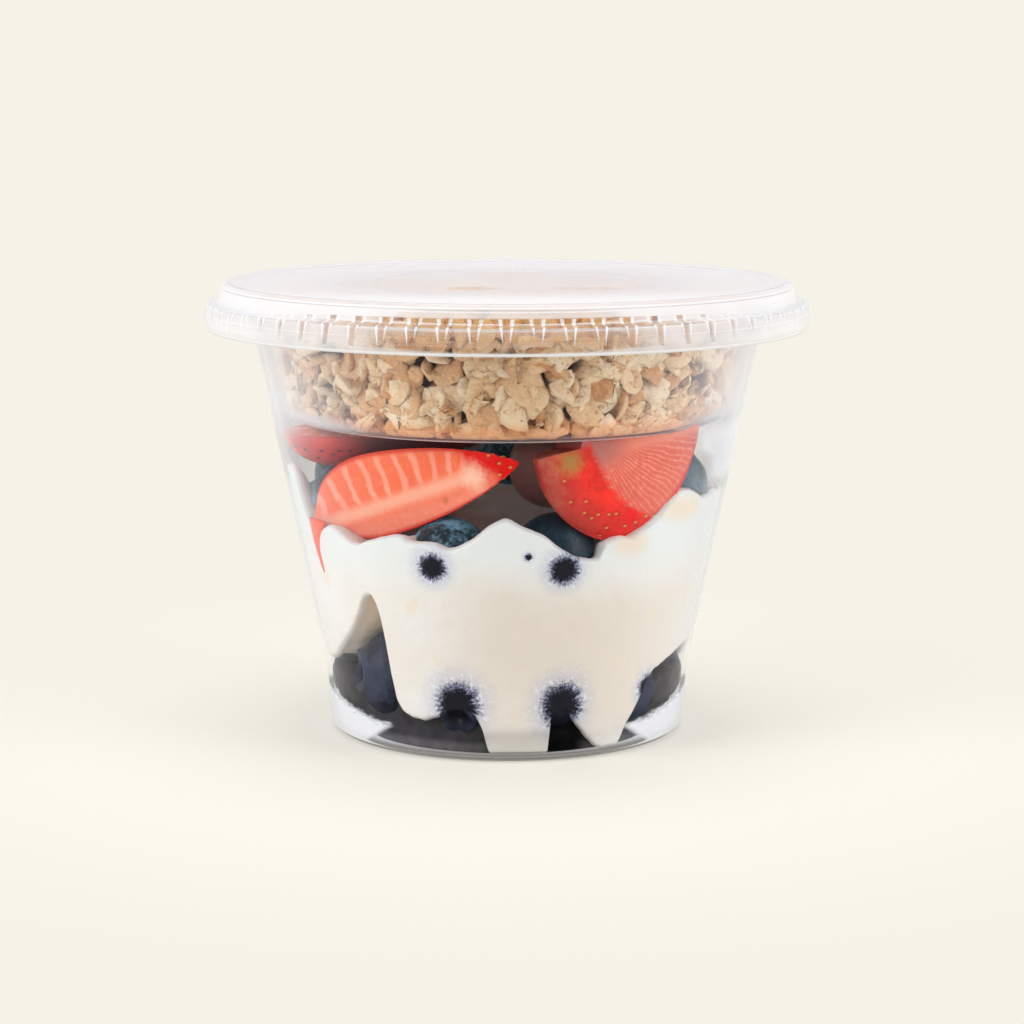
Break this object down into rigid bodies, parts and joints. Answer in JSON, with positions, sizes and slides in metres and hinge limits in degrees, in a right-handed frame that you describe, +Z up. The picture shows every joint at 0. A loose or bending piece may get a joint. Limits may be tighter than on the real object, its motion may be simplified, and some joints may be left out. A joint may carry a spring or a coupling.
{
  "type": "yogurt parfait",
  "caption": "Layered yogurt parfait in a round clear dessert cup: berries, thick yogurt, strawberry halves, and a clear tray of granola under a flat clear lid.",
  "frame": {"origin": "centre of the base, on the surface that the cup stands on", "axes": "+Z up along the cup's axis, the shown front faces -Y"},
  "size_m": [0.1036, 0.1036, 0.0777],
  "materials": {
    "clear_plastic": "clear, glossy, thin thermoformed plastic",
    "granola": "toasted oat flakes, matt and rough",
    "blueberry": "dark blue skin with a soft bloom",
    "strawberry": "moist cut flesh and glossy skin",
    "yogurt": "smooth, thick and slightly glossy"
  },
  "bodies": {
    "root": {"cup": "clear_plastic", "tray": "clear_plastic", "lid": "clear_plastic", "granola": "granola", "blueberry_01": "blueberry", "blueberry_02": "blueberry", "blueberry_03": "blueberry", "blueberry_04": "blueberry", "blueberry_05": "blueberry", "blueberry_06": "blueberry", "blueberry_07": "blueberry", "blueberry_08": "blueberry", "blueberry_09": "blueberry", "blueberry_10": "blueberry", "blueberry_11": "blueberry", "blueberry_12": "blueberry", "blueberry_13": "blueberry", "blueberry_14": "blueberry", "blueberry_15": "blueberry", "blueberry_16": "blueberry", "blueberry_17": "blueberry", "blueberry_18": "blueberry", "blueberry_19": "blueberry", "blueberry_20": "blueberry", "blueberry_21": "blueberry", "strawberry_01": "strawberry", "strawberry_02": "strawberry", "strawberry_03": "strawberry", "strawberry_04": "strawberry", "strawberry_05": "strawberry", "yogurt": "yogurt"}
  },
  "joints": []
}
